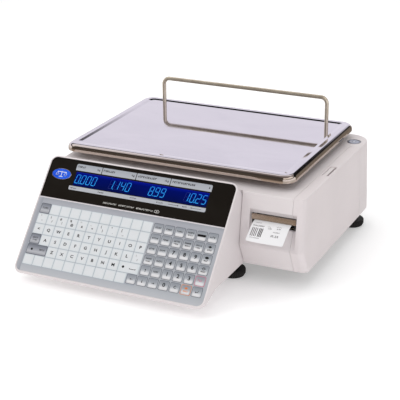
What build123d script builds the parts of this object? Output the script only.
"""Counter-top price-computing scale with a built-in label printer, one STEP file per piece.

Frame: +X to the operator's right, +Y to the customer (back), +Z up, millimetres.
Origin: centre of the weighing platter in plan, at the level of the counter.
"""
from build123d import *
import os
from math import sin, cos, pi, radians, degrees, sqrt, atan2

# ------------------------------------------------------------------ driving sizes (mm)
platter_w, platter_d = 380.0, 283.2      # weighing platter in plan
platter_top = 167.0                      # height of the platter rim over the counter
platter_flange = 10.5                    # depth of the turned-down edge
platter_corner = 20.0                    # corner radius in plan
platter_roll = 8.0                       # radius rolled along the top edge
platter_t = 1.2                          # sheet thickness
platter_dish = 0.8                       # depth of the flat bed below the rim
platter_rim, platter_border = 13.5, 19.0 # the step to the bed lies between these, from the edge

rail_d = 6.4                             # guard rail rod
rail_x, rail_y, rail_z = 147.0, 121.6, 208.0
rail_foot_z = 157.2                      # lower ends of the rod
rail_bend = 10.0

deck_z = 145.0                           # top of the body
sole_z = 29.5                            # underside of the body
wall = 3.0                               # moulded wall thickness
deck_under = deck_z - wall
plate_t = 2.0                            # base plate thickness
plate_top = sole_z + plate_t
left_top, left_bot = -191.0, -193.0      # left side, with draft
right_top, right_bot = 218.0, 221.0      # right side, with draft
back_top, back_bot = 144.0, 147.0
back_r = 30.0                            # back corner radius
front_r = 9.0                            # front right corner radius
nose_top, nose_crease, nose_bot = -162.4, -175.0, -156.7   # printer face, y
crease_z = 66.7

cheek_x = 121.5                          # right cheek of the keyboard console
console_left = left_top
console_wall_y = -160.0                  # body wall behind the console
panel_angle = 48.0                       # slope of the key panel from the horizontal
panel_y, panel_z = -172.2, 159.5         # upper edge of the panel
panel_len = 191.5                        # panel length down the slope
panel_corner = 12.0

door_x = 200.5                           # seam of the printer door
door_y = 84.0                            # rear end of the door
seam = 0.35
hinge_x, hinge_z = 214.5, 32.0           # printer door hinge line
knuckle_y = (-130.0, 30.0)               # centres of the fixed hinge knuckles
knuckle_w, knuckle_r, hinge_pin_r = 12.0, 2.9, 1.5

slot_l, slot_r = 135.3, 207.5            # printer slot recess
slot_top, slot_open_top, slot_open_bot = 121.5, 114.3, 95.0

foot_r, foot_h, pad_h = 19.0, 11.0, 3.0
foot_rim_r = foot_r - 0.9
foot_boss_r = 6.0
feet = {"front_right": (98.6, -143.0), "rear_right": (199.8, 113.0),
        "front_left": (-168.6, -143.0), "rear_left": (-172.8, 113.0)}
stud_r = 4.0
run_gap = 0.05                           # radial running clearance

boss_points = [(-182, 80), (-182, -60), (30, 118), (0, -148), (160, 128), (60, -148)]
console_screws = [(-150, 60), (80, 60)]  # (x, z) in the wall behind the console

bubble_at, bubble_r = (199.5, 108.0), 11.4
bubble_wall = 2.2
column_x, column_w, column_d = 60.0, 28.0, 36.0
column_gap = 16.0                        # added to the column size for the deck opening

# fittings in the back wall
connector_z = 56
inlet_x, inlet_w, inlet_h = -150, 27.0, 19.6
switch_x, switch_w, switch_h = -112, 19.0, 13.0
ports_x, ports_w, ports_h = 98, 57.6, 19.6
display_at = (0, 104)                    # customer display (x, z)
display_w, display_h, display_corner = 196, 34, 4
bezel_w, bezel_h, bezel_corner = 206, 44, 6

# label printer, centres as (y, z)
platen_y, platen_z, platen_r = -148.0, 101.5, 7.0
platen = (platen_y, platen_z)
label_roll_at, label_roll_r = (34.0, 86.0), 44.0
takeup, takeup_r = (-66.0, 62.0), 20.0
head_pivot_at, head_pivot_r = (-118, 118.2), 2.0
web_l, web_r = 142.5, 200.0              # label web
web_w = web_r - web_l
gear_m = 0.8                             # gear module
pinion_teeth, platen_teeth = 14, 22
gear_x0, gear_x1 = 132.4, 137.4
gear_w = gear_x1 - gear_x0
shaft_r = 2.98                           # platen shaft and take-up spindle
bearing_r = 3.0 + run_gap
motor_shaft_r = 2.5
frame_x, frame_t = 128, 2.6              # left side plate of the printer frame
pivot_x = 130.6                          # right face of that side plate
pulley_x, pulley_w = 121, 5.4
platen_pulley_r, takeup_pulley_r = 5.0, 14.0

os.makedirs("parts", exist_ok=True)


# ------------------------------------------------------------------ general helpers
def save(part, label, color):
    """Label a finished piece and write it as a STEP file."""
    part.label = label
    part.color = Color(*color)
    export_step(part, "parts/" + label + ".step")


def at_x(x):
    """Sketch plane across X: local axes Y and Z, normal +X."""
    return Plane.YZ.offset(x)


def at_y(y):
    """Sketch plane across Y: local axes X and Z, normal -Y."""
    return Plane.XZ.offset(-y)


def at_z(z):
    """Sketch plane across Z: local axes X and Y, normal +Z."""
    return Plane.XY.offset(z)


def prism_x(points, x0, x1):
    """Prism of a (y, z) outline between two x positions."""
    with BuildPart() as prism:
        with BuildSketch(at_x(x0)):
            with BuildLine():
                Polyline(*points, close=True)
            make_face()
        extrude(amount=x1 - x0)
    return prism.part


def discs_x(centre, steps):
    """Coaxial discs about a (y, z) centre; steps are (start x, radius, length)."""
    with BuildPart() as discs:
        for start, radius, length in steps:
            with BuildSketch(at_x(start)):
                with Locations(centre):
                    Circle(radius)
            extrude(amount=length)
    return discs.part


# ------------------------------------------------------------------ sloping panel helpers
slope_cos, slope_sin = cos(radians(panel_angle)), sin(radians(panel_angle))
console_mid = (console_left + cheek_x) / 2
console_w = cheek_x - console_left


def panel_yz(down, depth=0.0):
    """(y, z) of a point so far down the slope of the panel and behind its face."""
    return (panel_y - down * slope_cos + depth * slope_sin,
            panel_z - down * slope_sin - depth * slope_cos)


def panel_plane(down, depth, x):
    """Plane parallel to the panel: local X is +X, local Y up the slope, normal outward."""
    y, z = panel_yz(down, depth)
    return Plane(origin=(x, y, z), x_dir=(1, 0, 0), z_dir=(0, -slope_sin, slope_cos))


def face_y(z):
    """y of the upper printer face at height z."""
    return nose_top + (nose_crease - nose_top) * (deck_z - z) / (deck_z - crease_z)


# ------------------------------------------------------------------ gear outline
def gear_points(teeth, module, phase, backlash=0.12, pressure=20.0, steps=5):
    """Closed list of (x, y) points around an involute spur gear."""
    pitch_r = module * teeth / 2
    base_r = pitch_r * cos(radians(pressure))
    tip_r = pitch_r + module
    root_r = pitch_r - 1.25 * module

    def involute(radius):
        tangent = sqrt(max((radius / base_r) ** 2 - 1, 0))
        return tangent - atan2(tangent, 1)

    half = pi / (2 * teeth) - backlash / (2 * pitch_r) + involute(pitch_r)
    start_r = max(base_r, root_r + 0.01)
    flank = [start_r + (tip_r - start_r) * k / steps for k in range(steps + 1)]
    polar = []
    for i in range(teeth):
        centre = phase + 2 * pi * i / teeth
        polar.append((root_r, centre - pi / teeth))
        polar.append((root_r, centre - half + involute(start_r)))
        polar += [(radius, centre - half + involute(radius)) for radius in flank]
        polar += [(radius, centre + half - involute(radius)) for radius in reversed(flank)]
        polar.append((root_r, centre + half - involute(start_r)))
    return [(radius * cos(angle), radius * sin(angle)) for radius, angle in polar]


# ================================================================== main housing
clip_x0, clip_x1 = -230, 250             # cutters span the whole body between these
block_front = -185


def drafted(bottom, top, z):
    """Position of a drafted side at height z."""
    return bottom + (top - bottom) * (z - sole_z) / (deck_z - sole_z)


def body_block(inset, z0, z1):
    """Drafted block with round back corners, inset all round; its front is cut later."""
    with BuildPart() as block:
        for z in (z0, z1):
            with BuildSketch(at_z(z)) as section:
                left = drafted(left_bot, left_top, z) + inset
                right = drafted(right_bot, right_top, z) - inset
                back = drafted(back_bot, back_top, z) - inset
                with Locations(((left + right) / 2, (back + block_front) / 2)):
                    Rectangle(right - left, back - block_front)
                fillet(section.vertices().group_by(Axis.Y)[-1], back_r - inset)
        loft()
    return block.part


def console_cutter(right, back, z):
    """Cutter that moves the front wall back where the console stands."""
    depth = 40
    with BuildPart() as cutter:
        with BuildSketch(at_z(z)):
            with Locations(((clip_x0 + right) / 2, back - depth / 2)):
                Rectangle(right - clip_x0, depth)
        extrude(amount=130)
    return cutter.part


# in front of the creased printer face, (y, z)
nose_cut = [
    (nose_top + 0.5, deck_z + 3), (nose_top, deck_z), (nose_crease, crease_z),
    (nose_bot, sole_z), (nose_bot + 0.5, sole_z - 1), (-200, sole_z - 1), (-200, deck_z + 3),
]
# in front of the inner side of that face, (y, z)
nose_inner_cut = [
    (-159.85, deck_z + 3), (-159.85, deck_under), (-171.9, 66.2), (-153.4, sole_z),
    (-153.2, sole_z - 2), (-200, sole_z - 2), (-200, deck_z + 3),
]
cheek_gap = 0.7

# outside of the body, before it is hollowed and split into housing and door
with BuildPart() as envelope:
    add(body_block(0, sole_z, deck_z))
    add(prism_x(nose_cut, clip_x0, clip_x1), mode=Mode.SUBTRACT)
    add(console_cutter(cheek_x + cheek_gap, console_wall_y, sole_z - 1), mode=Mode.SUBTRACT)
    corner = envelope.edges().filter_by(
        lambda e: e.center().X > right_top - 3 and e.center().Y < -150
        and abs((e @ 1).Z - (e @ 0).Z) > 20)
    fillet(corner, front_r)
    top_edges = envelope.faces().sort_by(Axis.Z)[-1].edges().filter_by(
        lambda e: e.center().Y > -159.5 or e.center().X > 123)
    fillet(top_edges, 1.6)

with BuildPart() as body_cavity:
    add(body_block(wall, sole_z - 0.5, deck_under))
    add(prism_x(nose_inner_cut, clip_x0, clip_x1), mode=Mode.SUBTRACT)
    add(console_cutter(cheek_x + cheek_gap + wall, console_wall_y + wall, sole_z - 2),
        mode=Mode.SUBTRACT)

# thick lining around the printer slot, (y, z)
lining_pts = [(face_y(125) + 1.5, 125), (-158, 125), (-158, 92), (-163, 69),
              (face_y(69) + 1.5, 69)]
# slot recess; its ramped floor runs out to the face just above the crease, (y, z)
recess_pts = [(-185, slot_top), (-161.6, slot_top), (-161.6, slot_open_bot + 1),
              (face_y(70), 70), (-185, 67)]
open_l, open_r = slot_l + 1.2, slot_r - 1.0

with BuildPart() as shell:
    add(envelope.part)
    add(body_cavity.part, mode=Mode.SUBTRACT)
    add(prism_x(lining_pts, slot_l - wall, slot_r + wall))
    add(prism_x(recess_pts, slot_l, slot_r), mode=Mode.SUBTRACT)
    # the opening itself
    with BuildSketch(at_y(-150)):
        with Locations(((open_l + open_r) / 2, (slot_open_top + slot_open_bot) / 2)):
            RectangleRounded(open_r - open_l, slot_open_top - slot_open_bot, 0.8)
    extrude(amount=20, mode=Mode.SUBTRACT)

# region of the shell that belongs to the printer door
zone_right, zone_front = 260, -220
with BuildPart() as door_zone:
    with BuildSketch(at_z(sole_z - 5)):
        with Locations(((door_x + zone_right) / 2, (zone_front + door_y) / 2)):
            Rectangle(zone_right - door_x, door_y - zone_front)
    extrude(amount=140)

# under the deck along the door seam: (x from seam, y, width, length, start z, height)
seam_strips = [
    (-3, -36, 5.8, 226, deck_under - 2.5, 2.6),      # flange beside the seam
    (0.7, -36, 2.2, 226, deck_under - 2.5, 2.35),    # thinner lip reaching under the door
    (-0.9, -36.5, 5.4, 27, deck_z - 8.8, 3.5),       # keeper beside the door latch
]

with BuildPart() as upper_housing:
    add(shell.part)
    add(door_zone.part, mode=Mode.SUBTRACT)
    for from_seam, y, width, length, z, height in seam_strips:
        with BuildSketch(at_z(z)):
            with Locations((door_x + from_seam, y)):
                Rectangle(width, length)
        extrude(amount=height)
    # screw bosses
    with BuildSketch(at_z(plate_top)):
        with Locations(*boss_points):
            Circle(4.5)
            Circle(1.6, mode=Mode.SUBTRACT)
    extrude(amount=deck_under - plate_top + 0.1)
    # opening in the deck for the weighing column
    with BuildSketch(at_z(deck_z - 10)):
        with Locations((column_x, 0)):
            RectangleRounded(column_w + column_gap, column_d + column_gap, 4)
    extrude(amount=20, mode=Mode.SUBTRACT)
    # raised drip collar around the opening
    with BuildSketch(at_z(deck_z - 0.1)):
        with Locations((column_x, 0)):
            RectangleRounded(column_w + column_gap + 4, column_d + column_gap + 4, 6)
            RectangleRounded(column_w + column_gap, column_d + column_gap, 4,
                             mode=Mode.SUBTRACT)
    extrude(amount=2.6)
    # hole for the bubble level
    with BuildSketch(at_z(deck_z - 10)):
        with Locations(bubble_at):
            Circle(bubble_r + 0.1)
    extrude(amount=20, mode=Mode.SUBTRACT)
    # openings in the back wall: customer display, power inlet, power switch, ports
    with BuildSketch(at_y(136)):
        with Locations(display_at):
            RectangleRounded(display_w, display_h, display_corner)
        with Locations((inlet_x, connector_z)):
            Rectangle(inlet_w + 0.6, inlet_h + 0.6)
        with Locations((switch_x, connector_z)):
            Rectangle(switch_w + 0.2, switch_h + 0.2)
        with Locations((ports_x, connector_z)):
            Rectangle(ports_w + 0.6, ports_h + 0.6)
    extrude(amount=-16, mode=Mode.SUBTRACT)
    # shallow recess on the outside for the customer display window
    with BuildSketch(at_y(144.2)):
        with Locations(display_at):
            RectangleRounded(bezel_w, bezel_h, bezel_corner)
    extrude(amount=-10, mode=Mode.SUBTRACT)
    # cable pass and screw holes to the console
    with BuildSketch(at_y(-150)):
        with Locations((-110, 100)):
            RectangleRounded(50, 16, 3)
        with Locations(*console_screws):
            Circle(1.7)
    extrude(amount=16, mode=Mode.SUBTRACT)
save(upper_housing.part, "upper_housing", (0.86, 0.86, 0.85))

# ------------------------------------------------------------------ printer door
latch_l, latch_r, latch_front, latch_back = 204.2, 214.4, -57.0, -16.0
latch_x, latch_y = (latch_l + latch_r) / 2, (latch_front + latch_back) / 2
latch_w, latch_len = latch_r - latch_l, latch_back - latch_front
lug_offset, lug_w = 9.2, 6
rib_w = 2.2
# stiffening rib on the inside of the side wall, (x, z)
door_rib = [(213.9, 46), (218.7, 44), (216.9, 130), (213.9, 128)]

with BuildPart() as printer_door:
    add(shell.part)
    add(door_zone.part, mode=Mode.INTERSECT)
    # trim a hair off the seams
    with BuildSketch(at_z(sole_z - 8)):
        with Locations((door_x + seam / 2, -60)):
            Rectangle(seam, 330)
        with Locations((door_x + 15, door_y - seam / 2)):
            Rectangle(40, seam)
    extrude(amount=150, mode=Mode.SUBTRACT)
    # hinge lugs inside the lower edge of the side wall, one each side of a knuckle
    for y in knuckle_y:
        for side in (-1, 1):
            with BuildSketch(at_y(y + side * lug_offset + lug_w / 2)):
                with BuildLine():
                    Polyline((hinge_x, hinge_z - 2.4), (219.2, hinge_z - 2.4),
                             (218.9, hinge_z + 9), (hinge_x, hinge_z + 2.6), close=True)
                make_face()
                with Locations((hinge_x, hinge_z)):
                    Circle(knuckle_r)
            extrude(amount=lug_w)
    with BuildSketch(at_y(120)):
        with Locations((hinge_x, hinge_z)):
            Circle(hinge_pin_r + 0.02)
    extrude(amount=268, mode=Mode.SUBTRACT)
    # finger recess in the top strip: floor, then the cut
    with BuildSketch(at_z(deck_z - 9.0)):
        with Locations((latch_x, latch_y)):
            Rectangle(latch_w + 3.0, latch_len + 4)
    extrude(amount=7)
    with BuildSketch(at_z(deck_z - 6.5)):
        with Locations((latch_x, latch_y)):
            RectangleRounded(latch_w, latch_len, 1.0)
    extrude(amount=10, mode=Mode.SUBTRACT)
    # window in the recess floor for the latch slide
    with BuildSketch(at_z(deck_z - 12)):
        with Locations((latch_l + 6.1, latch_y)):
            Rectangle(6.8, 24.6)
    extrude(amount=12, mode=Mode.SUBTRACT)
    for y in (-90, -20):
        with BuildSketch(at_y(y + rib_w / 2)):
            with BuildLine():
                Polyline(*door_rib, close=True)
            make_face()
        extrude(amount=rib_w)
save(printer_door.part, "printer_door", (0.84, 0.82, 0.81))

hinge_pin_len = 26
with BuildPart() as door_hinge_pins:
    for y in knuckle_y:
        with BuildSketch(at_y(y - hinge_pin_len / 2)):
            with Locations((hinge_x, hinge_z)):
                Circle(hinge_pin_r)
        extrude(amount=-hinge_pin_len)
save(door_hinge_pins.part, "door_hinge_pins", (0.6, 0.6, 0.62))

# finger slide in the recess
with BuildPart() as door_latch:
    # thumb plate, nearly flush with the top strip
    with BuildSketch(at_z(deck_z - 6.3)):
        with Locations((latch_l + 3.6, latch_y)):
            RectangleRounded(6.4, latch_len - 0.8, 0.8)
    extrude(amount=5.7)
    fillet(door_latch.edges().group_by(Axis.Z)[-1], 0.5)
    # stem through the floor of the recess
    with BuildSketch(at_z(deck_z - 9.5)):
        with Locations((latch_l + 4.4, latch_y)):
            Rectangle(3.0, 24.0)
    extrude(amount=3.6)
    # bolt plate under the floor
    with BuildSketch(at_z(deck_z - 11.5)):
        with Locations((latch_l + 2.1, latch_y)):
            Rectangle(7.6, 24.0)
    extrude(amount=2.3)
save(door_latch.part, "door_latch", (0.8, 0.79, 0.78))

# ================================================================== base plate and feet
plate_left, plate_right, plate_front, plate_back = -189.5, 199, -153, 142.0
with BuildPart() as bottom_plate:
    with BuildSketch(at_z(sole_z)) as plate_outline:
        with Locations(((plate_left + plate_right) / 2, (plate_front + plate_back) / 2)):
            Rectangle(plate_right - plate_left, plate_back - plate_front)
        fillet(plate_outline.vertices().group_by(Axis.Y)[-1].sort_by(Axis.X)[0], 27)
        # ear that carries the rear right foot, behind the door
        with Locations((201.5, 112.7)):
            Rectangle(14, 30)
        with Locations(*feet.values()):
            Circle(7.0, mode=Mode.SUBTRACT)
        with Locations(*boss_points):
            Circle(1.7, mode=Mode.SUBTRACT)
    extrude(amount=plate_t)
    # stiffening ribs
    with BuildSketch(at_z(plate_top)):
        with Locations((10, -56), (108, 60)):
            SlotOverall(100, 8, rotation=90)
        with Locations((8, -118)):
            SlotOverall(120, 8)
    extrude(amount=2.0)
save(bottom_plate.part, "bottom_plate", (0.62, 0.63, 0.65))

with BuildPart() as foot_inserts:
    with BuildSketch(at_z(sole_z - 1.0)):
        with Locations(*feet.values()):
            RegularPolygon(6.9, 6)
            Circle(stud_r + run_gap, mode=Mode.SUBTRACT)
    extrude(amount=13.0)
save(foot_inserts.part, "foot_inserts", (0.72, 0.6, 0.35))


def make_foot_pad(centre):
    """Pad that stands on the counter, with a boss on top."""
    with BuildPart() as foot_pad:
        with BuildSketch(Plane.XY):
            with Locations(centre):
                Circle(foot_r - 2.0)
        extrude(amount=pad_h)
        fillet(foot_pad.edges().group_by(Axis.Z)[0], 0.8)
        with BuildSketch(at_z(pad_h - 0.2)):
            with Locations(centre):
                Circle(foot_boss_r)
        extrude(amount=3.2)
    return foot_pad.part


def make_foot_disc(centre):
    """Ribbed adjusting disc with its hub and stud, socketed over the pad's boss."""
    disc_h = foot_h - pad_h - run_gap
    with BuildPart() as foot_disc:
        with BuildSketch(at_z(pad_h + run_gap)):
            with Locations(centre):
                Circle(foot_rim_r)
        extrude(amount=disc_h)
        # grip ribs around the rim
        with BuildSketch(at_z(pad_h + run_gap + 0.6)):
            with Locations(centre):
                with PolarLocations(foot_r - 1.2, 30):
                    Circle(1.2)
        extrude(amount=disc_h - 1.6)
        # tapered hub and stud
        with BuildSketch(at_z(foot_h)):
            with Locations(centre):
                Circle(9.0)
        extrude(amount=3.0, taper=20)
        with BuildSketch(at_z(foot_h)):
            with Locations(centre):
                Circle(stud_r)
        extrude(amount=36.0)
        # socket for the pad's boss
        with BuildSketch(at_z(pad_h)):
            with Locations(centre):
                Circle(foot_boss_r + run_gap)
        extrude(amount=3.1, mode=Mode.SUBTRACT)
        chamfer(foot_disc.faces().sort_by(Axis.Z)[-1].edges(), 0.8)
    return foot_disc.part


for name, centre in feet.items():
    save(make_foot_pad(centre), name + "_foot_pad", (0.05, 0.05, 0.05))
    save(make_foot_disc(centre), name + "_foot_disc", (0.06, 0.06, 0.06))

screw_head_h = 2.2
with BuildPart() as housing_screws:
    with BuildSketch(at_z(sole_z - screw_head_h)):
        with Locations(*boss_points):
            Circle(3.6)
    extrude(amount=screw_head_h)
    with BuildSketch(at_z(sole_z - 0.1)):
        with Locations(*boss_points):
            Circle(1.5)
    extrude(amount=14)
    # cross slots
    with BuildSketch(at_z(sole_z - screw_head_h)):
        with Locations(*boss_points):
            Rectangle(4.4, 0.8)
            Rectangle(0.8, 4.4)
    extrude(amount=1.2, mode=Mode.SUBTRACT)
save(housing_screws.part, "housing_screws", (0.7, 0.7, 0.72))

# fixed knuckles of the printer door hinge, standing on the base plate
with BuildPart() as door_hinge_brackets:
    for y in knuckle_y:
        with BuildSketch(at_y(y + knuckle_w / 2)):
            with BuildLine():
                Polyline((190.0, plate_top), (hinge_x, plate_top),
                         (hinge_x, hinge_z + knuckle_r), (200, hinge_z + knuckle_r),
                         (190, sole_z + 4.0), close=True)
            make_face()
            with Locations((hinge_x, hinge_z)):
                Circle(knuckle_r)
            with Locations((hinge_x, hinge_z)):
                Circle(hinge_pin_r + run_gap, mode=Mode.SUBTRACT)
        extrude(amount=knuckle_w)
save(door_hinge_brackets.part, "door_hinge_brackets", (0.6, 0.61, 0.63))

# ================================================================== keyboard console
console_back = -160.4
# outer profile, (y, z)
outer_pts = [
    panel_yz(-4), panel_yz(panel_len + 5), (-255.6, sole_z + 0.7), (-240, sole_z),
    (console_back, sole_z), (console_back, deck_z + 0.25), (-150.0, deck_z + 0.25),
    (-150.0, panel_yz(-4)[1]),
]
# inner profile, (y, z)
inner_pts = [
    panel_yz(3, 3.4), panel_yz(172, 3.4), (-255, sole_z + 3.8), (-240, sole_z + 3.1),
    (-159.0, sole_z + 3.1), (-159.0, 141.5), panel_yz(3, 17.5),
]

with BuildPart() as console_hollow:
    add(prism_x(inner_pts, console_left + wall, cheek_x - wall))
    with BuildSketch(panel_plane(panel_len / 2, 0, console_mid)):
        RectangleRounded(console_w - 2 * wall, panel_len - 2 * wall, panel_corner - wall)
    extrude(amount=-220, mode=Mode.INTERSECT)

# places down the slope of the panel
overlay_top, overlay_end = 2.6, 68.2     # black display strip
keys_top, keys_end = overlay_end + 0.2, panel_len - 3.6
film_mid = (overlay_top + keys_end) / 2
lcd_down = 32.5
tail_x = 100                             # keypad tail

with BuildPart() as console_housing:
    add(prism_x(outer_pts, console_left, cheek_x))
    with BuildSketch(panel_plane(panel_len / 2, 0, console_mid)):
        RectangleRounded(console_w, panel_len, panel_corner)
    extrude(amount=-260, mode=Mode.INTERSECT)
    panel_face = console_housing.faces().filter_by(
        lambda f: f.normal_at().Y < -0.6 and f.normal_at().Z > 0.5).sort_by(Axis.Z)[-1]
    fillet(panel_face.edges(), 1.5)
    add(console_hollow.part, mode=Mode.SUBTRACT)
    # seat for the overlays
    with BuildSketch(panel_plane(film_mid, 0, console_mid)):
        RectangleRounded(console_w - 5.2, keys_end - overlay_top, panel_corner - 2.6)
    extrude(amount=-1.5, mode=Mode.SUBTRACT)
    # display window and keypad tail slot through the seat
    with BuildSketch(panel_plane(lcd_down, 0, -30)):
        RectangleRounded(226, 26, 2)
    extrude(amount=-6, mode=Mode.SUBTRACT)
    with BuildSketch(panel_plane(74, 0, tail_x)):
        RectangleRounded(20, 4, 1)
    extrude(amount=-6, mode=Mode.SUBTRACT)
    # screw bosses joining it to the body wall, each on a web from the floor
    with BuildSketch(at_y(console_back)):
        with Locations(*console_screws):
            Circle(4.5)
            Circle(1.4, mode=Mode.SUBTRACT)
    extrude(amount=22)
    for x, _ in console_screws:
        with BuildSketch(at_y(console_back)):
            with Locations((x, 43.8)):
                Rectangle(2.4, 26.6)
        extrude(amount=20)
save(console_housing.part, "console_housing", (0.88, 0.87, 0.86))


def panel_film(thickness, cut_centre):
    """Film over the whole seat, less a 200 long band centred at cut_centre down the slope."""
    with BuildPart() as film:
        with BuildSketch(panel_plane(film_mid, 0.5, console_mid)):
            RectangleRounded(console_w - 5.6, keys_end - overlay_top - 0.4,
                             panel_corner - 2.8)
        extrude(amount=-thickness)
        with BuildSketch(panel_plane(cut_centre, 4, console_mid)):
            Rectangle(400, 200)
        extrude(amount=10, mode=Mode.SUBTRACT)
    return film.part


lcd_x, lcd_w, lcd_h = -29.7, 221.2, 22.0
with BuildPart() as display_overlay:
    add(panel_film(0.9, overlay_end + 100))
    with BuildSketch(panel_plane(lcd_down, 2, lcd_x)):
        Rectangle(lcd_w + 0.2, lcd_h + 0.2)
    extrude(amount=4, mode=Mode.SUBTRACT)
save(display_overlay.part, "display_overlay", (0.09, 0.085, 0.08))

with BuildPart() as lcd_window:
    with BuildSketch(panel_plane(lcd_down, 0.6, lcd_x)):
        Rectangle(lcd_w, lcd_h)
    extrude(amount=-1.0)
save(lcd_window.part, "lcd_window", (0.05, 0.08, 0.55))

save(panel_film(0.5, keys_top - 100), "keypad_overlay", (0.72, 0.74, 0.78))

# printed preset card between the film and the switch layer
preset_l, preset_r, preset_top = -180.5, 9.8, 78.8
preset_rows, preset_pitch = 6, 16.4
preset_len = preset_rows * preset_pitch
with BuildPart() as preset_card:
    with BuildSketch(panel_plane(preset_top + preset_len / 2, 1.02,
                                 (preset_l + preset_r) / 2)):
        RectangleRounded(preset_r - preset_l, preset_len, 1)
    extrude(amount=-0.1)
save(preset_card.part, "preset_card", (0.9, 0.9, 0.88))

with BuildPart() as switch_layer:
    with BuildSketch(panel_plane((keys_top + keys_end) / 2, 1.14, console_mid)):
        RectangleRounded(console_w - 10, keys_end - keys_top - 2, 6)
    extrude(amount=-0.34)
    # tail that drops through the slot to the keypad board
    with BuildSketch(panel_plane(74, 1.3, tail_x)):
        Rectangle(16, 1.2)
    extrude(amount=-7)
save(switch_layer.part, "switch_layer", (0.35, 0.5, 0.45))

with BuildPart() as badge_plate:
    with BuildSketch(panel_plane(29.0, 0.48, -164.2)):
        Ellipse(16.6, 8.9)
    extrude(amount=0.9)
save(badge_plate.part, "badge_plate", (0.05, 0.2, 0.8))

# display module behind the panel: glass, then its board
glass_depth, glass_t = 1.62, 5.5
with BuildPart() as lcd_module:
    with BuildSketch(panel_plane(lcd_down, glass_depth, -30)):
        Rectangle(224, 24)
    extrude(amount=-glass_t)
    with BuildSketch(panel_plane(lcd_down, glass_depth + glass_t, -30)):
        Rectangle(236, 40)
    extrude(amount=-1.6)
save(lcd_module.part, "lcd_module", (0.1, 0.35, 0.2))

# keypad board with a connector in front and a chip behind
key_board_depth, key_board_t = 9.5, 1.6
with BuildPart() as keypad_board:
    with BuildSketch(panel_plane(78, key_board_depth, 60)):
        RectangleRounded(100, 26, 1)
    extrude(amount=-key_board_t)
    with BuildSketch(panel_plane(73, key_board_depth, tail_x)):
        Rectangle(14, 5)
    extrude(amount=0.9)
    with BuildSketch(panel_plane(80, key_board_depth + key_board_t, 50)):
        Rectangle(14, 14)
    extrude(amount=-2.0)
save(keypad_board.part, "keypad_board", (0.1, 0.4, 0.25))

# ================================================================== weighing mechanism
cell_x0, cell_x1, cell_z0, cell_z1, cell_w = -70.0, 76.0, 72.0, 96.0, 32.0
cell_mid_x, cell_mid_z = (cell_x0 + cell_x1) / 2, (cell_z0 + cell_z1) / 2
cell_bolts = [(-60, 8), (-60, -8), (-44, 8), (-44, -8)]
pedestal_x, pedestal_foot_h = -54, 6

with BuildPart() as load_cell_pedestal:
    with BuildSketch(at_z(plate_top)):
        with Locations((pedestal_x, 0)):
            RectangleRounded(52, 74, 5)
    extrude(amount=pedestal_foot_h)
    with BuildSketch(at_z(plate_top + pedestal_foot_h)):
        with Locations((pedestal_x, 0)):
            RectangleRounded(32, cell_w, 3)
    extrude(amount=cell_z0 - plate_top - pedestal_foot_h)
    # window through the post, front to back
    with BuildSketch(at_y(60)):
        with Locations((pedestal_x, 52)):
            RectangleRounded(16, 14, 3)
    extrude(amount=120, mode=Mode.SUBTRACT)
save(load_cell_pedestal.part, "load_cell_pedestal", (0.66, 0.67, 0.68))

lobe_x = (-12, 16)
with BuildPart() as load_cell:
    with BuildSketch(at_y(cell_w / 2)):
        with Locations((cell_mid_x, cell_mid_z)):
            Rectangle(cell_x1 - cell_x0, cell_z1 - cell_z0)
        # double-lobed bending window
        with Locations((lobe_x[0], cell_mid_z), (lobe_x[1], cell_mid_z)):
            Circle(9.4, mode=Mode.SUBTRACT)
        with Locations(((lobe_x[0] + lobe_x[1]) / 2, cell_mid_z)):
            Rectangle(lobe_x[1] - lobe_x[0], 6, mode=Mode.SUBTRACT)
    extrude(amount=cell_w)
    with Locations(*[(x, y, cell_z1) for x, y in cell_bolts]):
        Hole(3.0)
save(load_cell.part, "load_cell", (0.75, 0.76, 0.78))

with BuildPart() as load_cell_bolts:
    with BuildSketch(at_z(cell_z1 + 0.02)):
        with Locations(*cell_bolts):
            Circle(4.5)
            RegularPolygon(2.4, 6, mode=Mode.SUBTRACT)
    extrude(amount=5.0)
    with BuildSketch(at_z(cell_z0 + 0.02)):
        with Locations(*cell_bolts):
            Circle(2.9)
    extrude(amount=cell_z1 - cell_z0 + 2)
save(load_cell_bolts.part, "load_cell_bolts", (0.25, 0.25, 0.27))

spider_z0, spider_z1 = 152.5, 158.5
with BuildPart() as weigh_column:
    with BuildSketch(at_z(cell_z1)):
        with Locations((column_x, 0)):
            RectangleRounded(column_w, cell_w, 3)
    extrude(amount=spider_z0 - cell_z1)
    # window through the column, left to right
    with BuildSketch(at_x(40)):
        with Locations((0, 120)):
            RectangleRounded(14, 20, 3)
    extrude(amount=40, mode=Mode.SUBTRACT)
save(weigh_column.part, "weigh_column", (0.7, 0.71, 0.72))

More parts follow.
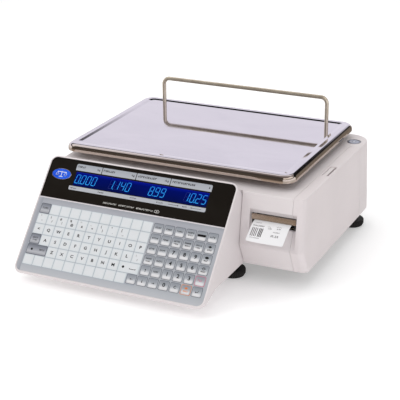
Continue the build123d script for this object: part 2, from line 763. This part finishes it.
pad_x, pad_y = 120, 85
pad_points = [(-pad_x, -pad_y), (-pad_x, pad_y), (pad_x, -pad_y), (pad_x, pad_y)]
pad_socket = 2.0
arm_len, arm_w = 175, 22
arm_angle = degrees(atan2(pad_y, pad_x))
with BuildPart() as platter_spider:
    with BuildSketch(at_z(spider_z0)):
        with Locations((0, 0)):
            RectangleRounded(60, 60, 10)
        with Locations((column_x / 2, 0)):
            RectangleRounded(column_x + 34, 46, 8)
        with Locations((pad_x / 2, pad_y / 2), (-pad_x / 2, -pad_y / 2)):
            SlotOverall(arm_len, arm_w, rotation=arm_angle)
        with Locations((-pad_x / 2, pad_y / 2), (pad_x / 2, -pad_y / 2)):
            SlotOverall(arm_len, arm_w, rotation=-arm_angle)
        with Locations(*pad_points):
            Circle(13)
    extrude(amount=spider_z1 - spider_z0)
    # round window and pad sockets
    with BuildSketch(at_z(spider_z0)):
        with Locations((-22, 0)):
            Circle(12)
    extrude(amount=10, mode=Mode.SUBTRACT)
    with BuildSketch(at_z(spider_z1 - pad_socket)):
        with Locations(*pad_points):
            Circle(8.0)
    extrude(amount=3, mode=Mode.SUBTRACT)
save(platter_spider.part, "platter_spider", (0.6, 0.61, 0.62))

bed_z = platter_top - platter_dish
bed_under = bed_z - platter_t            # underside of the dish
with BuildPart() as platter_pads:
    with BuildSketch(at_z(spider_z1 - pad_socket)):
        with Locations(*pad_points):
            Circle(7.9)
    extrude(amount=bed_under - spider_z1 + pad_socket)
    fillet(platter_pads.edges().group_by(Axis.Z)[-1], 1.0)
save(platter_pads.part, "platter_pads", (0.06, 0.06, 0.06))

# block and stop pin under the free end of the load cell
stop_x, stop_block_h = 62, 24
with BuildPart() as overload_stop:
    with BuildSketch(at_z(plate_top)):
        with Locations((stop_x, 0)):
            RectangleRounded(24, 30, 3)
    extrude(amount=stop_block_h)
    with BuildSketch(at_z(plate_top + stop_block_h)):
        with Locations((stop_x, 0)):
            Circle(4)
    extrude(amount=cell_z0 - 0.6 - plate_top - stop_block_h)
    fillet(overload_stop.edges().group_by(Axis.Z)[-1], 1.2)
save(overload_stop.part, "overload_stop", (0.5, 0.5, 0.52))


# ------------------------------------------------------------------ platter
def dish(z_top, z_low):
    """The cutter for a sloping border: wide at z_top, narrow at z_low."""
    with BuildPart() as cutter:
        with BuildSketch(at_z(z_top)):
            RectangleRounded(platter_w - 2 * platter_rim, platter_d - 2 * platter_rim, 10.0)
        with BuildSketch(at_z(z_low)):
            RectangleRounded(platter_w - 2 * platter_border, platter_d - 2 * platter_border,
                             7.0)
        loft()
    return cutter.part


flange_z = platter_top - platter_flange
with BuildPart() as platter_underside:
    with BuildSketch(at_z(flange_z - 1)):
        RectangleRounded(platter_w - 2 * platter_t, platter_d - 2 * platter_t,
                         platter_corner - platter_t)
    extrude(amount=platter_flange + 1 - platter_t)
    fillet(platter_underside.edges().group_by(Axis.Z)[-1], platter_roll - platter_t)
    add(dish(platter_top - platter_t, bed_under), mode=Mode.SUBTRACT)

rail_feet = [(-rail_x, rail_y), (rail_x, rail_y)]
with BuildPart() as platter:
    with BuildSketch(at_z(flange_z)):
        RectangleRounded(platter_w, platter_d, platter_corner)
    extrude(amount=platter_flange)
    fillet(platter.edges().group_by(Axis.Z)[-1], platter_roll)
    add(dish(platter_top + 0.001, bed_z), mode=Mode.SUBTRACT)
    add(platter_underside.part, mode=Mode.SUBTRACT)
    # holes for the guard rail
    with BuildSketch(at_z(flange_z)):
        with Locations(*rail_feet):
            Circle(rail_d / 2 + run_gap)
    extrude(amount=20, mode=Mode.SUBTRACT)
save(platter.part, "platter", (0.8, 0.8, 0.83))

with BuildPart() as guard_rail:
    with BuildLine():
        FilletPolyline((-rail_x, rail_y, rail_foot_z), (-rail_x, rail_y, rail_z),
                       (rail_x, rail_y, rail_z), (rail_x, rail_y, rail_foot_z),
                       radius=rail_bend)
    with BuildSketch(Plane(origin=(-rail_x, rail_y, rail_foot_z), z_dir=(0, 0, 1))):
        Circle(rail_d / 2)
    sweep()
save(guard_rail.part, "guard_rail", (0.75, 0.74, 0.72))

# rings under the platter: two collars round the rail ends, four cups round the pads
collar_z, cup_h, ring_gap = 157.6, 3.4, 0.02
with BuildPart() as platter_rings:
    with BuildSketch(at_z(collar_z)):
        with Locations(*rail_feet):
            Circle(5.4)
            Circle(rail_d / 2 + ring_gap, mode=Mode.SUBTRACT)
    extrude(amount=bed_under - collar_z - ring_gap)
    with BuildSketch(at_z(bed_under - cup_h)):
        with Locations(*pad_points):
            Circle(10.0)
            Circle(8.6, mode=Mode.SUBTRACT)
    extrude(amount=cup_h - ring_gap)
save(platter_rings.part, "platter_rings", (0.7, 0.7, 0.72))

# ================================================================== bubble level
with BuildPart() as bubble_cup:
    with BuildSketch(at_z(deck_z - 7.0)):
        with Locations(bubble_at):
            Circle(bubble_r)
    extrude(amount=7.1)
    with BuildSketch(at_z(deck_z - 5.0)):
        with Locations(bubble_at):
            Circle(bubble_r - bubble_wall)
    extrude(amount=6, mode=Mode.SUBTRACT)
save(bubble_cup.part, "bubble_level_cup", (0.7, 0.72, 0.75))

with BuildPart() as bubble_vial:
    with BuildSketch(at_z(deck_z - 4.96)):
        with Locations(bubble_at):
            Circle(bubble_r - bubble_wall - 0.04)
    extrude(amount=4.9)
    fillet(bubble_vial.edges().group_by(Axis.Z)[-1], 0.8)
save(bubble_vial.part, "bubble_level_vial", (0.75, 0.8, 0.85))

# ================================================================== electronics
board_z, board_t = 42, 1.6
board_top = board_z + board_t
board_at = (-100, 84)
with BuildPart() as main_board:
    with BuildSketch(at_z(board_z)):
        with Locations(board_at):
            Rectangle(112, 76)
    extrude(amount=board_t)
    # standoffs
    with BuildSketch(at_z(plate_top)):
        with Locations((-150, 52), (-50, 52), (-150, 116), (-50, 116)):
            Circle(3)
    extrude(amount=board_z - plate_top)
    # flat components, then two tall round ones
    with BuildSketch(at_z(board_top)):
        with Locations(board_at):
            Rectangle(24, 24)
        with Locations((-62, 92)):
            Rectangle(14, 20)
        with Locations((-138, 78)):
            Rectangle(12, 30)
    extrude(amount=4)
    with BuildSketch(at_z(board_top)):
        with Locations((-76, 60), (-62, 60)):
            Circle(5)
    extrude(amount=14)
save(main_board.part, "main_board", (0.1, 0.4, 0.2))

supply_x, supply_y, supply_h = -128, -82, 34
with BuildPart() as power_supply:
    with BuildSketch(at_z(plate_top)):
        with Locations((supply_x, supply_y)):
            Rectangle(99, 62)
    extrude(amount=supply_h)
    # row of slots in the top
    with BuildSketch(at_z(plate_top + supply_h)):
        with Locations(*[(supply_x + i * 9, supply_y) for i in range(-4, 5)]):
            SlotOverall(44, 4, rotation=90)
    extrude(amount=-1.2, mode=Mode.SUBTRACT)
save(power_supply.part, "power_supply", (0.75, 0.76, 0.78))

fitting_y, fitting_flange_t = 146.8, 1.6   # flanges on the outside of the back wall
with BuildPart() as power_inlet:
    with BuildSketch(at_y(126)):
        with Locations((inlet_x, connector_z)):
            Rectangle(inlet_w, inlet_h)
    extrude(amount=-20.6)
    with BuildSketch(at_y(fitting_y)):
        with Locations((inlet_x, connector_z)):
            RectangleRounded(33, 26, 3)
    extrude(amount=-fitting_flange_t)
    # bridge from the body to the flange
    with BuildSketch(at_y(146.5)):
        with Locations((inlet_x, connector_z)):
            Rectangle(inlet_w, inlet_h)
    extrude(amount=-0.6)
    # socket, open to the back, and its three pins
    with BuildSketch(at_y(149)):
        with Locations((inlet_x, connector_z)):
            RectangleRounded(24, 16.5, 3)
    extrude(amount=15, mode=Mode.SUBTRACT)
    with BuildSketch(at_y(134)):
        with Locations((inlet_x - 7, connector_z), (inlet_x, connector_z + 2),
                       (inlet_x + 7, connector_z)):
            Rectangle(1.6, 5)
    extrude(amount=-11)
save(power_inlet.part, "power_inlet", (0.06, 0.06, 0.06))

with BuildPart() as switch_body:
    with BuildSketch(at_y(130)):
        with Locations((switch_x, connector_z)):
            Rectangle(switch_w, switch_h)
    extrude(amount=-17)
    with BuildSketch(at_y(fitting_y)):
        with Locations((switch_x, connector_z)):
            RectangleRounded(22, 16, 1.5)
    extrude(amount=-fitting_flange_t)
    with BuildSketch(at_y(150)):
        with Locations((switch_x, connector_z)):
            Rectangle(16.0, 10.0)
    extrude(amount=14, mode=Mode.SUBTRACT)
save(switch_body.part, "power_switch_body", (0.05, 0.05, 0.05))

# rocker with a shallow V-shaped outer face; y of its pivot
rocker_y, rocker_h = 143.5, 9.6
with BuildPart() as rocker:
    with BuildSketch(at_z(connector_z - rocker_h / 2)):
        with BuildLine():
            Polyline((switch_x - 6.8, rocker_y + 1.5), (switch_x - 7.0, rocker_y + 6.9),
                     (switch_x, rocker_y + 5.3), (switch_x + 7.0, rocker_y + 6.9),
                     (switch_x + 6.8, rocker_y + 1.5), (switch_x, rocker_y - 3.0),
                     close=True)
        make_face()
    extrude(amount=rocker_h)
save(rocker.part, "power_rocker", (0.08, 0.08, 0.08))

with BuildPart() as port_block:
    with BuildSketch(at_y(124)):
        with Locations((ports_x, connector_z)):
            Rectangle(ports_w, ports_h)
    extrude(amount=-22.4)
    with BuildSketch(at_y(140)):
        with Locations((80, connector_z), (100, connector_z)):
            Rectangle(13, 12)
        with Locations((117, connector_z)):
            Rectangle(8, 5)
    extrude(amount=-10, mode=Mode.SUBTRACT)
save(port_block.part, "port_block", (0.6, 0.61, 0.63))

display_board_y, display_board_t = 132, 1.6
with BuildPart() as customer_display:
    with BuildSketch(at_y(display_board_y)):
        with Locations(display_at):
            Rectangle(210, 46)
    extrude(amount=-display_board_t)
    with BuildSketch(at_y(display_board_y + display_board_t)):
        with Locations(display_at):
            Rectangle(display_w - 2, display_h - 2)
    extrude(amount=-6.0)
save(customer_display.part, "customer_display_module", (0.1, 0.35, 0.2))

window_fit, window_corner_fit = 0.6, 0.2   # taken off the opening's size and corner radius
with BuildPart() as customer_window:
    with BuildSketch(at_y(144.3)):
        with Locations(display_at):
            RectangleRounded(bezel_w - window_fit, bezel_h - window_fit,
                             bezel_corner - window_corner_fit)
    extrude(amount=-1.1)
    with BuildSketch(at_y(140.2)):
        with Locations(display_at):
            RectangleRounded(display_w - window_fit, display_h - window_fit,
                             display_corner - window_corner_fit)
    extrude(amount=-4.3)
save(customer_window.part, "customer_display_window", (0.05, 0.07, 0.3))

# flat ribbon from above the main board to the console
ribbon_x = -110
with BuildPart() as display_ribbon:
    with BuildLine():
        Polyline((ribbon_x, 42, 46), (ribbon_x, 20, 70), (ribbon_x, -122, 72),
                 (ribbon_x, -146, 100), (ribbon_x, -171, 100))
    with BuildSketch(Plane(origin=(ribbon_x, 42, 46), z_dir=(0, -22, 24), x_dir=(1, 0, 0))):
        Rectangle(40, 1.2)
    sweep(transition=Transition.RIGHT)
save(display_ribbon.part, "display_ribbon", (0.7, 0.7, 0.68))

# ================================================================== label printer
# the pinion sits 35 degrees below the level of the platen, one centre distance away
gear_distance = gear_m * (pinion_teeth + platen_teeth) / 2
pinion_y = platen_y + gear_distance * cos(radians(-35))
pinion_z = platen_z + gear_distance * sin(radians(-35))
pinion = (pinion_y, pinion_z)
post_offset = 13.5
motor_posts = [(pinion_y - post_offset, pinion_z - post_offset),
               (pinion_y + post_offset, pinion_z + post_offset)]

# printer frame outlines, (y, z)
cross_plate_pts = [(-157, 86), (-157, 88.6), (-142, 88.6), (-142, 86)]
top_tab_pts = [(-157.4, 114.6), (-157.4, 119), (-148, 119), (-148, 114.6)]
left_cheek_pts = [(-163.4, 97.5), (-163.4, 113.9), (-157.6, 113.9), (-157.6, 118),
                  (-150, 118), (-150, 114.4), (-156.5, 112), (-158.4, 97.5)]

with BuildPart() as printer_frame:
    # left side plate
    with BuildSketch(at_x(frame_x)):
        with BuildLine():
            Polyline((-157, 86), (-157, 122), (-110, 134), (60, 134), (78, 116),
                     (78, plate_top), (-120, plate_top), (-135, 60), close=True)
        make_face()
        with Locations(platen, takeup):
            Circle(bearing_r, mode=Mode.SUBTRACT)
        with Locations(pinion):
            Circle(3.4, mode=Mode.SUBTRACT)
        with Locations((0, 52)):
            SlotOverall(60, 18, mode=Mode.SUBTRACT)
    extrude(amount=frame_t)
    # floor flange on the base plate
    with BuildSketch(at_z(plate_top)):
        with Locations((141, -21)):
            Rectangle(26, 190)
    extrude(amount=frame_t)
    # cross plate under the platen
    add(prism_x(cross_plate_pts, frame_x, frame_x + 77))
    # right bearing bracket
    with BuildSketch(at_x(202.6)):
        with BuildLine():
            Polyline((-163.4, 99), (-163.4, 113.9), (-157, 113.9), (-140, 110), (-132, 100),
                     (-132, 86), (-157, 86), (-157, 99), close=True)
        make_face()
        with Locations(platen):
            Circle(bearing_r, mode=Mode.SUBTRACT)
    extrude(amount=2.4)
    # tab from the side plate to the left cheek of the outlet, then that cheek
    add(prism_x(top_tab_pts, frame_x, frame_x + 12.4))
    add(prism_x(left_cheek_pts, 138.0, 140.4))
save(printer_frame.part, "printer_frame", (0.1, 0.1, 0.1))

# the gears are phased so that a platen-gear gap faces a pinion tooth
mesh_angle = atan2(pinion_z - platen_z, pinion_y - platen_y)
with BuildPart() as platen_gear:
    with BuildSketch(at_x(gear_x0)):
        with Locations(platen):
            Polygon(*gear_points(platen_teeth, gear_m, mesh_angle + pi / platen_teeth),
                    align=None)
            Circle(shaft_r, mode=Mode.SUBTRACT)
    extrude(amount=gear_w)
save(platen_gear.part, "platen_gear", (0.9, 0.9, 0.85))

with BuildPart() as platen_roller:
    with BuildSketch(at_x(web_l - 1)):
        with Locations(platen):
            Circle(platen_r)
            Circle(3.0, mode=Mode.SUBTRACT)
    extrude(amount=web_w + 1.6)
save(platen_roller.part, "platen_roller", (0.08, 0.08, 0.08))

# shaft with a belt pulley on its left end
platen_shaft = discs_x(platen, [(120, shaft_r, 85.6), (pulley_x, platen_pulley_r, pulley_w)])
save(platen_shaft, "platen_shaft", (0.65, 0.65, 0.66))

motor_x, motor_len = 98, 21
motor_face = motor_x + motor_len
with BuildPart() as drive_motor:
    with BuildSketch(at_x(motor_x)):
        with Locations(pinion):
            RectangleRounded(35, 35, 4)
    extrude(amount=motor_len)
    with BuildSketch(at_x(motor_face)):
        with Locations(pinion):
            Circle(8)
    extrude(amount=1.6)
    # posts that reach to the side plate
    with BuildSketch(at_x(motor_face)):
        with Locations(*motor_posts):
            Circle(2.6)
    extrude(amount=frame_x - motor_face - 0.02)
    with BuildSketch(at_x(90)):
        with Locations(pinion):
            Circle(motor_shaft_r + run_gap)
    extrude(amount=50, mode=Mode.SUBTRACT)
save(drive_motor.part, "drive_motor", (0.3, 0.3, 0.32))

# pinion in one piece with the motor shaft
motor_shaft_x = motor_x + 1
with BuildPart() as motor_pinion:
    with BuildSketch(at_x(gear_x0)):
        with Locations(pinion):
            Polygon(*gear_points(pinion_teeth, gear_m, mesh_angle + pi), align=None)
    extrude(amount=gear_w)
    with BuildSketch(at_x(motor_shaft_x)):
        with Locations(pinion):
            Circle(motor_shaft_r)
    extrude(amount=gear_x1 - motor_shaft_x)
save(motor_pinion.part, "motor_pinion", (0.7, 0.68, 0.6))

spindle_r = 12.6
with BuildPart() as label_spindle:
    add(discs_x(label_roll_at, [(pivot_x, 16, 3), (pivot_x + 3, spindle_r, 68)]))
    fillet(label_spindle.edges().group_by(Axis.X)[-1], 1.5)
save(label_spindle.part, "label_spindle", (0.1, 0.1, 0.1))

with BuildPart() as label_roll:
    with BuildSketch(at_x(web_l)):
        with Locations(label_roll_at):
            Circle(label_roll_r)
            Circle(spindle_r + run_gap, mode=Mode.SUBTRACT)
    extrude(amount=web_w - 0.5)
save(label_roll.part, "label_roll", (0.95, 0.95, 0.94))

takeup_spool = discs_x(takeup, [
    (web_l, takeup_r, web_w - 0.5),      # wound backing
    (web_l - 2.4, 24, 2.4),              # left flange
    (pulley_x, shaft_r, 22),             # spindle
    (pulley_x, takeup_pulley_r, pulley_w),
])
save(takeup_spool, "takeup_spool", (0.85, 0.8, 0.65))

# peel bar across the outlet, (y, z), notched at both ends
peel_pts = [(-165.6, 105.6), (-165.6, 113.4), (-163.5, 113.9), (-163.5, 107.2),
            (-158.0, 106.6), (-158.0, 105.6)]
with BuildPart() as peel_bar:
    add(prism_x(peel_pts, 137.4, 205.6))
    for notch_x in (137.0, 202.0):
        with BuildSketch(at_x(notch_x)):
            with Locations((-160.4, 106)):
                Rectangle(6.1, 3)
        extrude(amount=4.4, mode=Mode.SUBTRACT)
save(peel_bar.part, "peel_bar", (0.5, 0.45, 0.42))

# belt from the platen shaft to the take-up spool
belt_x0, belt_x1 = 121.4, 126.0
belt_t, belt_gap = 1.1, 0.06
with BuildPart() as takeup_belt:
    with BuildSketch(at_x(belt_x0)):
        with Locations(platen):
            Circle(platen_pulley_r + belt_t)
        with Locations(takeup):
            Circle(takeup_pulley_r + belt_t)
        make_hull()
    extrude(amount=belt_x1 - belt_x0)
    with BuildSketch(at_x(belt_x0 - 1)):
        with Locations(platen):
            Circle(platen_pulley_r + belt_gap)
        with Locations(takeup):
            Circle(takeup_pulley_r + belt_gap)
        make_hull()
    extrude(amount=8, mode=Mode.SUBTRACT)
save(takeup_belt.part, "takeup_belt", (0.08, 0.08, 0.08))

with BuildPart() as print_head:
    with BuildSketch(at_x(web_l)):
        with BuildLine():
            Polyline((-156.0, 109.2), (-140.0, 109.2), (-140.0, 112.0), (-114.0, 116.2),
                     (-114.0, 120.4), (-156.0, 119.0), close=True)
        make_face()
        with Locations(head_pivot_at):
            Circle(4.2)
    extrude(amount=web_w)
    with BuildSketch(at_x(web_l - 1)):
        with Locations(head_pivot_at):
            Circle(head_pivot_r + run_gap)
    extrude(amount=80, mode=Mode.SUBTRACT)
    # cooling fins
    with BuildSketch(at_x(web_l + 4)):
        with Locations(*[(y, 121) for y in (-150, -145, -140, -135)]):
            Rectangle(1.6, 6)
    extrude(amount=web_w - 8)
save(print_head.part, "print_head", (0.55, 0.55, 0.58))

head_pivot = discs_x(head_pivot_at, [(pivot_x, 5, 3), (pivot_x + 3, head_pivot_r, 67.5)])
save(head_pivot, "head_pivot_pin", (0.65, 0.65, 0.66))

# label hanging out of the slot; upper face from the peel edge outward, (y, z)
label_path = [(-157.0, 105.2), (-166.0, 105.2), (-176.0, 102.4), (-188.0, 95.2),
              (-201.0, 85.6)]
label_t = 0.22
with BuildPart() as printed_label:
    with BuildSketch(at_x(web_l)):
        with BuildLine():
            upper = Spline(*label_path)
            lower = Spline(*[(y, z - label_t) for y, z in label_path])
            Line(upper @ 0, lower @ 0)
            Line(upper @ 1, lower @ 1)
        make_face()
    extrude(amount=web_w - 0.5)
save(printed_label.part, "printed_label", (0.96, 0.96, 0.98))
